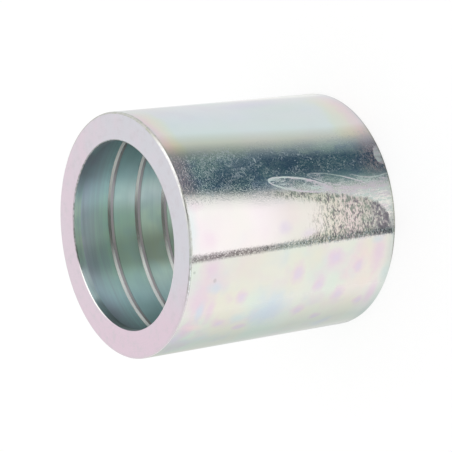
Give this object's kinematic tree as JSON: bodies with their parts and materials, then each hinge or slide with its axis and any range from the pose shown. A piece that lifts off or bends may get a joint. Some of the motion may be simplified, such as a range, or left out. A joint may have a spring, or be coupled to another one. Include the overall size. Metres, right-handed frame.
{
  "type": "crimp hose ferrule",
  "caption": "Turned steel sleeve that is crimped over a hydraulic hose: plain round barrel, a narrower collar mouth at one end, and a toothed chamber that grips the hose.",
  "frame": {"origin": "centre of the hose end's face, on which the ferrule stands", "axes": "+Z along the ferrule's axis, from the hose end to the collar's face"},
  "size_m": [0.056, 0.056, 0.0567],
  "materials": {
    "zinc_plate": "zinc plated, pale iridescent passivation, water stains"
  },
  "bodies": {
    "root": {"ferrule": "zinc_plate"}
  },
  "joints": []
}
